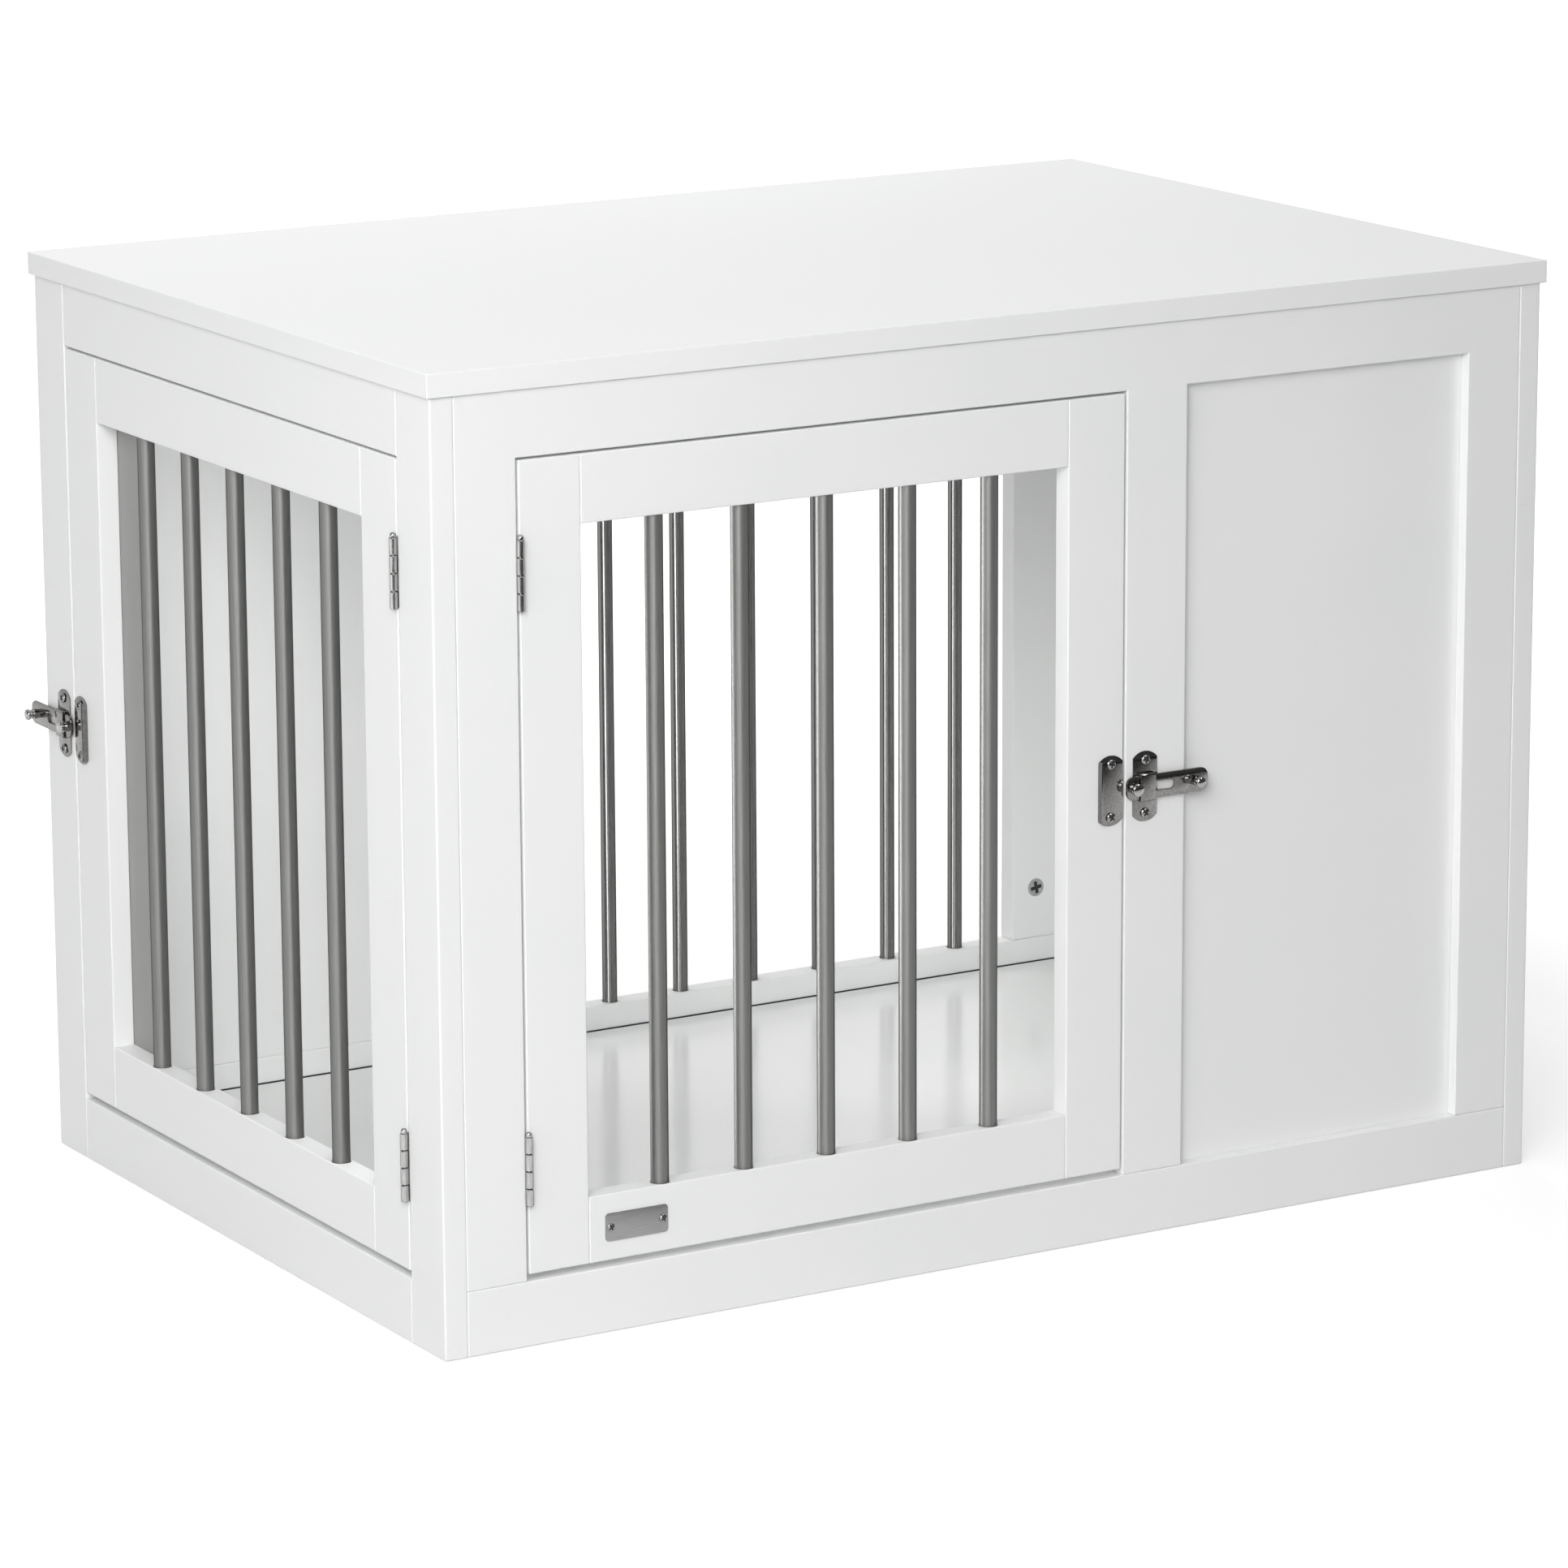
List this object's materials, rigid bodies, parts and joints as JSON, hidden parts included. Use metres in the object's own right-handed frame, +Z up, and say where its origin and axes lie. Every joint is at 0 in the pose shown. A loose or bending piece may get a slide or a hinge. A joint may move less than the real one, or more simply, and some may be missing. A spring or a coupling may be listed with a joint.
{
  "type": "dog crate end table",
  "caption": "White wooden dog crate used as an end table, with barred doors at the front and side, slide latches, a barred back and a flat top.",
  "frame": {"origin": "on the floor, under the middle of the crate's body", "axes": "+Z up, -Y out of the front with the larger door, -X out of the side with the other door"},
  "size_m": [0.836, 0.5948, 0.615],
  "materials": {
    "boards": "satin white paint",
    "bars": "satin grey steel",
    "hinges": "satin steel",
    "latches": "dark nickel plating",
    "name_plate": "brushed, blank"
  },
  "bodies": {
    "carcass": {"table_top": "boards", "left_front_post": "boards", "left_rear_post": "boards", "left_top_rail": "boards", "left_bottom_rail": "boards", "right_front_post": "boards", "right_rear_post": "boards", "right_top_rail": "boards", "right_bottom_rail": "boards", "right_panel": "boards", "front_frame": "boards", "front_bottom_rail": "boards", "front_panel": "boards", "back_frame": "boards", "back_bottom_rail": "boards", "back_panel": "boards", "back_bar_1": "bars", "back_bar_2": "bars", "back_bar_3": "bars", "back_bar_4": "bars", "back_bar_5": "bars", "back_bar_6": "bars", "back_bar_7": "bars", "floor_panel": "boards", "front_floor_cleat": "boards", "back_floor_cleat": "boards", "front_door_upper_hinge_frame_leaf": "hinges", "front_door_lower_hinge_frame_leaf": "hinges", "front_latch_base": "latches", "side_door_upper_hinge_frame_leaf": "hinges", "side_door_lower_hinge_frame_leaf": "hinges", "side_latch_base": "latches"},
    "front_door": {"front_door_left_stile": "boards", "front_door_right_stile": "boards", "front_door_top_rail": "boards", "front_door_bottom_rail": "boards", "front_door_bar_1": "bars", "front_door_bar_2": "bars", "front_door_bar_3": "bars", "front_door_bar_4": "bars", "front_door_bar_5": "bars", "front_door_upper_hinge_door_leaf": "hinges", "front_door_lower_hinge_door_leaf": "hinges", "front_latch_keeper": "latches", "name_plate": "name_plate"},
    "side_door": {"side_door_left_stile": "boards", "side_door_right_stile": "boards", "side_door_top_rail": "boards", "side_door_bottom_rail": "boards", "side_door_bar_1": "bars", "side_door_bar_2": "bars", "side_door_bar_3": "bars", "side_door_bar_4": "bars", "side_door_bar_5": "bars", "side_door_upper_hinge_door_leaf": "hinges", "side_door_lower_hinge_door_leaf": "hinges", "side_latch_keeper": "latches", "side_door_guard": "bars"},
    "front_bolt": {"front_latch_bolt": "latches"},
    "side_bolt": {"side_latch_bolt": "latches"}
  },
  "joints": [
    {"name": "front_door_hinge", "type": "hinge", "parent": "carcass", "child": "front_door", "pos_m": [-0.35125, -0.2848, 0.3015], "axis": [0, 0, -1], "range_deg": [0, 135]},
    {"name": "side_door_hinge", "type": "hinge", "parent": "carcass", "child": "side_door", "pos_m": [-0.4128, -0.23725, 0.3015], "axis": [0, 0, 1], "range_deg": [0, 135]},
    {"name": "front_bolt_slide", "type": "slide", "parent": "carcass", "child": "front_bolt", "axis": [-1, 0, 0], "range_m": [0, 0.0186]},
    {"name": "side_bolt_slide", "type": "slide", "parent": "carcass", "child": "side_bolt", "axis": [0, -1, 0], "range_m": [0, 0.0186]}
  ]
}
